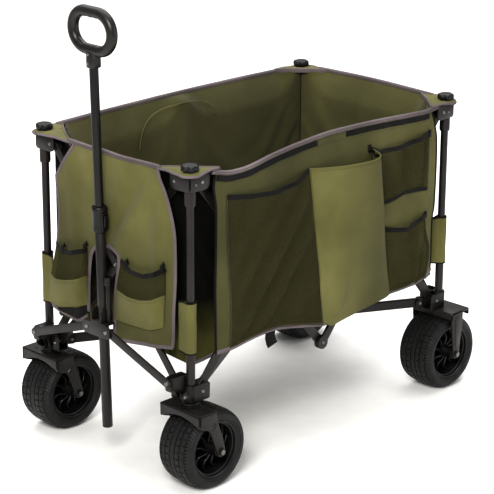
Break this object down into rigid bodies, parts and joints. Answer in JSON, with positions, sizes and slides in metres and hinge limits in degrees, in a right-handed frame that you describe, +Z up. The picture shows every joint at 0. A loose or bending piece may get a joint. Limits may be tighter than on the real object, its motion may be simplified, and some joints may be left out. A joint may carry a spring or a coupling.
{
  "type": "folding camp wagon",
  "caption": "Folding utility wagon: open fabric bag hung in a scissor-link frame on wide wheels, with swivelling front casters and a telescoping pull handle.",
  "frame": {"origin": "middle of the footprint on the ground, under the centre of the open wagon", "axes": "+Z up, -X towards the pull handle, +Y across the wagon towards its right-hand side"},
  "size_m": [0.974, 0.582, 1.0114],
  "materials": {
    "olive_fabric": "heavy woven polyester, olive, matt",
    "bronze_paint": "satin dark bronze-grey powder coat",
    "black_paint": "satin black powder coat",
    "tyre_rubber": "matt black tread",
    "rim_plastic": "moulded black",
    "bolt_steel": "zinc plated bolt",
    "knob_plastic": "moulded black",
    "grip_plastic": "smooth moulded dark grey"
  },
  "bodies": {
    "corner_front_left": {"bracket_front_left": "black_paint", "lower_post_front_left": "bronze_paint", "bag": "olive_fabric", "front_pocket_panel": "olive_fabric"},
    "corner_front_right": {"bracket_front_right": "black_paint", "lower_post_front_right": "bronze_paint"},
    "corner_rear_left": {"bracket_rear_left": "black_paint", "lower_post_rear_left": "bronze_paint", "fork_rear_left": "bronze_paint", "axle_bolt_rear_left": "bolt_steel"},
    "corner_rear_right": {"bracket_rear_right": "black_paint", "lower_post_rear_right": "bronze_paint", "fork_rear_right": "bronze_paint", "axle_bolt_rear_right": "bolt_steel"},
    "caster_front_left": {"fork_front_left": "bronze_paint", "axle_bolt_front_left": "bolt_steel"},
    "caster_front_right": {"fork_front_right": "bronze_paint", "axle_bolt_front_right": "bolt_steel"},
    "front_strut_left_body": {"front_strut_left": "bronze_paint"},
    "front_strut_right_body": {"front_strut_right": "bronze_paint"},
    "handle_plate_body": {"handle_plate": "bronze_paint", "handle_stop_post": "black_paint"},
    "base_hub_body": {"base_hub": "black_paint"},
    "handle": {"handle_lower_tube": "bronze_paint", "handle_collar": "black_paint"},
    "handle_top": {"handle_upper_tube": "black_paint", "handle_grip": "grip_plastic"},
    "handle_button_body": {"handle_button": "knob_plastic"},
    "top_front_left": {"upper_post_front_left": "bronze_paint", "knob_front_left": "knob_plastic"},
    "wheel_front_left": {"wheel_rim_front_left": "rim_plastic", "tyre_front_left": "tyre_rubber"},
    "base_front_left": {"base_link_front_left": "bronze_paint"},
    "top_front_right": {"upper_post_front_right": "bronze_paint", "knob_front_right": "knob_plastic"},
    "wheel_front_right": {"wheel_rim_front_right": "rim_plastic", "tyre_front_right": "tyre_rubber"},
    "base_front_right": {"base_link_front_right": "bronze_paint"},
    "top_rear_left": {"upper_post_rear_left": "bronze_paint", "knob_rear_left": "knob_plastic"},
    "wheel_rear_left": {"wheel_rim_rear_left": "rim_plastic", "tyre_rear_left": "tyre_rubber"},
    "base_rear_left": {"base_link_rear_left": "bronze_paint"},
    "top_rear_right": {"upper_post_rear_right": "bronze_paint", "knob_rear_right": "knob_plastic"},
    "wheel_rear_right": {"wheel_rim_rear_right": "rim_plastic", "tyre_rear_right": "tyre_rubber"},
    "base_rear_right": {"base_link_rear_right": "bronze_paint"},
    "side_left_front_rising": {"side_link_left_front_rising": "bronze_paint"},
    "side_left_front_falling": {"side_link_left_front_falling": "bronze_paint"},
    "side_left_rear_rising": {"side_link_left_rear_rising": "bronze_paint"},
    "side_left_rear_falling": {"side_link_left_rear_falling": "bronze_paint"},
    "side_right_front_rising": {"side_link_right_front_rising": "bronze_paint"},
    "side_right_front_falling": {"side_link_right_front_falling": "bronze_paint"},
    "side_right_rear_rising": {"side_link_right_rear_rising": "bronze_paint"},
    "side_right_rear_falling": {"side_link_right_rear_falling": "bronze_paint"},
    "end_front_rising": {"end_link_front_rising": "bronze_paint"},
    "end_front_falling": {"end_link_front_falling": "bronze_paint"},
    "end_rear_rising": {"end_link_rear_rising": "bronze_paint"},
    "end_rear_falling": {"end_link_rear_falling": "bronze_paint"}
  },
  "joints": [
    {"name": "frame_fold", "type": "hinge", "parent": "corner_front_left", "child": "side_left_front_rising", "pos_m": [-0.39596, -0.225, 0.216], "axis": [0, -1, 0], "range_deg": [0, 29], "deforming": ["bag", "front_pocket_panel"]},
    {"name": "side_left_front_falling_pivot", "type": "hinge", "parent": "side_left_front_rising", "child": "side_left_front_falling", "pos_m": [-0.20296, -0.225, 0.445], "axis": [0, -1, 0], "range_deg": [-58.02, 0]},
    {"name": "top_front_left_pivot", "type": "hinge", "parent": "side_left_front_falling", "child": "top_front_left", "pos_m": [-0.39596, -0.225, 0.674], "axis": [0, -1, 0], "range_deg": [0, 29.02]},
    {"name": "side_left_rear_falling_pivot", "type": "hinge", "parent": "side_left_front_rising", "child": "side_left_rear_falling", "pos_m": [-0.00996, -0.225, 0.674], "axis": [0, -1, 0], "range_deg": [-58.02, 0]},
    {"name": "side_left_rear_rising_pivot", "type": "hinge", "parent": "side_left_rear_falling", "child": "side_left_rear_rising", "pos_m": [0.18304, -0.225, 0.445], "axis": [0, -1, 0], "range_deg": [0, 58.02]},
    {"name": "top_rear_left_pivot", "type": "hinge", "parent": "side_left_rear_rising", "child": "top_rear_left", "pos_m": [0.37604, -0.225, 0.674], "axis": [0, -1, 0], "range_deg": [-29.02, 0]},
    {"name": "corner_rear_left_pivot", "type": "hinge", "parent": "side_left_rear_falling", "child": "corner_rear_left", "pos_m": [0.37604, -0.225, 0.216], "axis": [0, -1, 0], "range_deg": [0, 29.02]},
    {"name": "end_front_rising_pivot", "type": "hinge", "parent": "corner_front_left", "child": "end_front_rising", "pos_m": [-0.41796, -0.193, 0.216], "axis": [1, 0, 0], "range_deg": [0, 29.02]},
    {"name": "end_front_falling_pivot", "type": "hinge", "parent": "end_front_rising", "child": "end_front_falling", "pos_m": [-0.41796, 0, 0.445], "axis": [1, 0, 0], "range_deg": [-58.02, 0]},
    {"name": "corner_front_right_pivot", "type": "hinge", "parent": "end_front_falling", "child": "corner_front_right", "pos_m": [-0.41796, 0.193, 0.216], "axis": [1, 0, 0], "range_deg": [0, 29.02]},
    {"name": "side_right_front_rising_pivot", "type": "hinge", "parent": "corner_front_right", "child": "side_right_front_rising", "pos_m": [-0.39596, 0.225, 0.216], "axis": [0, -1, 0], "range_deg": [0, 29.02]},
    {"name": "side_right_front_falling_pivot", "type": "hinge", "parent": "side_right_front_rising", "child": "side_right_front_falling", "pos_m": [-0.20296, 0.225, 0.445], "axis": [0, -1, 0], "range_deg": [-58.02, 0]},
    {"name": "top_front_right_pivot", "type": "hinge", "parent": "side_right_front_falling", "child": "top_front_right", "pos_m": [-0.39596, 0.225, 0.674], "axis": [0, -1, 0], "range_deg": [0, 29.02]},
    {"name": "side_right_rear_falling_pivot", "type": "hinge", "parent": "side_right_front_rising", "child": "side_right_rear_falling", "pos_m": [-0.00996, 0.225, 0.674], "axis": [0, -1, 0], "range_deg": [-58.02, 0]},
    {"name": "side_right_rear_rising_pivot", "type": "hinge", "parent": "side_right_rear_falling", "child": "side_right_rear_rising", "pos_m": [0.18304, 0.225, 0.445], "axis": [0, -1, 0], "range_deg": [0, 58.02]},
    {"name": "top_rear_right_pivot", "type": "hinge", "parent": "side_right_rear_rising", "child": "top_rear_right", "pos_m": [0.37604, 0.225, 0.674], "axis": [0, -1, 0], "range_deg": [-29.02, 0]},
    {"name": "corner_rear_right_pivot", "type": "hinge", "parent": "side_right_rear_falling", "child": "corner_rear_right", "pos_m": [0.37604, 0.225, 0.216], "axis": [0, -1, 0], "range_deg": [0, 29.02]},
    {"name": "end_rear_rising_pivot", "type": "hinge", "parent": "corner_rear_left", "child": "end_rear_rising", "pos_m": [0.39804, -0.193, 0.216], "axis": [1, 0, 0], "range_deg": [0, 29.02]},
    {"name": "end_rear_falling_pivot", "type": "hinge", "parent": "end_rear_rising", "child": "end_rear_falling", "pos_m": [0.39804, 0, 0.445], "axis": [1, 0, 0], "range_deg": [-58.02, 0]},
    {"name": "front_strut_left_pivot", "type": "hinge", "parent": "corner_front_left", "child": "front_strut_left_body", "pos_m": [-0.47316, -0.211, 0.248], "axis": [1, 0, 0], "range_deg": [0, 56.49]},
    {"name": "handle_plate_pivot", "type": "hinge", "parent": "front_strut_left_body", "child": "handle_plate_body", "pos_m": [-0.47316, -0.03, 0.313], "axis": [1, 0, 0], "range_deg": [-56.49, 0]},
    {"name": "front_strut_right_pivot", "type": "hinge", "parent": "corner_front_right", "child": "front_strut_right_body", "pos_m": [-0.47316, 0.211, 0.248], "axis": [1, 0, 0], "range_deg": [-56.49, 0]},
    {"name": "base_link_front_left_pivot", "type": "hinge", "parent": "corner_front_left", "child": "base_front_left", "pos_m": [-0.37592, -0.20182, 0.209], "axis": [0.4829, -0.8757, 0], "range_deg": [0, 80.02]},
    {"name": "base_link_front_right_pivot", "type": "hinge", "parent": "corner_front_right", "child": "base_front_right", "pos_m": [-0.37592, 0.20182, 0.209], "axis": [-0.4829, -0.8757, 0], "range_deg": [0, 80.02]},
    {"name": "base_link_rear_left_pivot", "type": "hinge", "parent": "corner_rear_left", "child": "base_rear_left", "pos_m": [0.35601, -0.20182, 0.209], "axis": [0.4829, 0.8757, 0], "range_deg": [0, 80.02]},
    {"name": "base_link_rear_right_pivot", "type": "hinge", "parent": "corner_rear_right", "child": "base_rear_right", "pos_m": [0.35601, 0.20182, 0.209], "axis": [-0.4829, 0.8757, 0], "range_deg": [0, 80.02]},
    {"name": "base_hub_lift", "type": "slide", "parent": "corner_front_left", "child": "base_hub_body", "axis": [-0.6671, -0.3336, 0.6661], "range_m": [0, 0.40587]},
    {"name": "caster_front_left_swivel", "type": "hinge", "parent": "corner_front_left", "child": "caster_front_left", "pos_m": [-0.41796, -0.225, 0.19], "axis": [0, 0, 1], "continuous": true},
    {"name": "caster_front_right_swivel", "type": "hinge", "parent": "corner_front_right", "child": "caster_front_right", "pos_m": [-0.41796, 0.225, 0.19], "axis": [0, 0, 1], "continuous": true},
    {"name": "wheel_front_left_spin", "type": "hinge", "parent": "caster_front_left", "child": "wheel_front_left", "pos_m": [-0.38596, -0.225, 0.089], "axis": [0, 1, 0], "continuous": true},
    {"name": "wheel_front_right_spin", "type": "hinge", "parent": "caster_front_right", "child": "wheel_front_right", "pos_m": [-0.38596, 0.225, 0.089], "axis": [0, 1, 0], "continuous": true},
    {"name": "wheel_rear_left_spin", "type": "hinge", "parent": "corner_rear_left", "child": "wheel_rear_left", "pos_m": [0.39804, -0.225, 0.089], "axis": [0, 1, 0], "continuous": true},
    {"name": "wheel_rear_right_spin", "type": "hinge", "parent": "corner_rear_right", "child": "wheel_rear_right", "pos_m": [0.39804, 0.225, 0.089], "axis": [0, 1, 0], "continuous": true},
    {"name": "handle_pull", "type": "hinge", "parent": "handle_plate_body", "child": "handle", "pos_m": [-0.45796, 0, 0.345], "axis": [0, 1, 0], "range_deg": [-54, 0]},
    {"name": "handle_telescope", "type": "slide", "parent": "handle", "child": "handle_top", "axis": [-0.0254, 0, 0.9997], "range_m": [-0.295, 0]},
    {"name": "handle_button_press", "type": "slide", "parent": "handle", "child": "handle_button_body", "axis": [0, 1, 0], "range_m": [0, 0.0026], "stiffness_N_per_m": 400}
  ],
  "couplings": [
    {"joint": "side_left_front_falling_pivot", "follows": "frame_fold", "ratio": -2},
    {"joint": "top_front_left_pivot", "follows": "frame_fold", "ratio": 1},
    {"joint": "side_left_rear_falling_pivot", "follows": "frame_fold", "ratio": -2},
    {"joint": "side_left_rear_rising_pivot", "follows": "frame_fold", "ratio": 2},
    {"joint": "top_rear_left_pivot", "follows": "frame_fold", "ratio": -1},
    {"joint": "corner_rear_left_pivot", "follows": "frame_fold", "ratio": 1},
    {"joint": "end_front_rising_pivot", "follows": "frame_fold", "ratio": 1},
    {"joint": "end_front_falling_pivot", "follows": "frame_fold", "ratio": -2},
    {"joint": "corner_front_right_pivot", "follows": "frame_fold", "ratio": 1},
    {"joint": "side_right_front_rising_pivot", "follows": "frame_fold", "ratio": 1},
    {"joint": "side_right_front_falling_pivot", "follows": "frame_fold", "ratio": -2},
    {"joint": "top_front_right_pivot", "follows": "frame_fold", "ratio": 1},
    {"joint": "side_right_rear_falling_pivot", "follows": "frame_fold", "ratio": -2},
    {"joint": "side_right_rear_rising_pivot", "follows": "frame_fold", "ratio": 2},
    {"joint": "top_rear_right_pivot", "follows": "frame_fold", "ratio": -1},
    {"joint": "corner_rear_right_pivot", "follows": "frame_fold", "ratio": 1},
    {"joint": "end_rear_rising_pivot", "follows": "frame_fold", "ratio": 1},
    {"joint": "end_rear_falling_pivot", "follows": "frame_fold", "ratio": -2},
    {"joint": "front_strut_left_pivot", "follows": "frame_fold", "ratio": 1.9474},
    {"joint": "handle_plate_pivot", "follows": "frame_fold", "ratio": -1.9474},
    {"joint": "front_strut_right_pivot", "follows": "frame_fold", "ratio": -1.9474},
    {"joint": "base_link_front_left_pivot", "follows": "frame_fold", "ratio": 2.7586},
    {"joint": "base_link_front_right_pivot", "follows": "frame_fold", "ratio": 2.7586},
    {"joint": "base_link_rear_left_pivot", "follows": "frame_fold", "ratio": 2.7586},
    {"joint": "base_link_rear_right_pivot", "follows": "frame_fold", "ratio": 2.7586},
    {"joint": "base_hub_lift", "follows": "frame_fold", "m_per_rad": 0.80089}
  ]
}
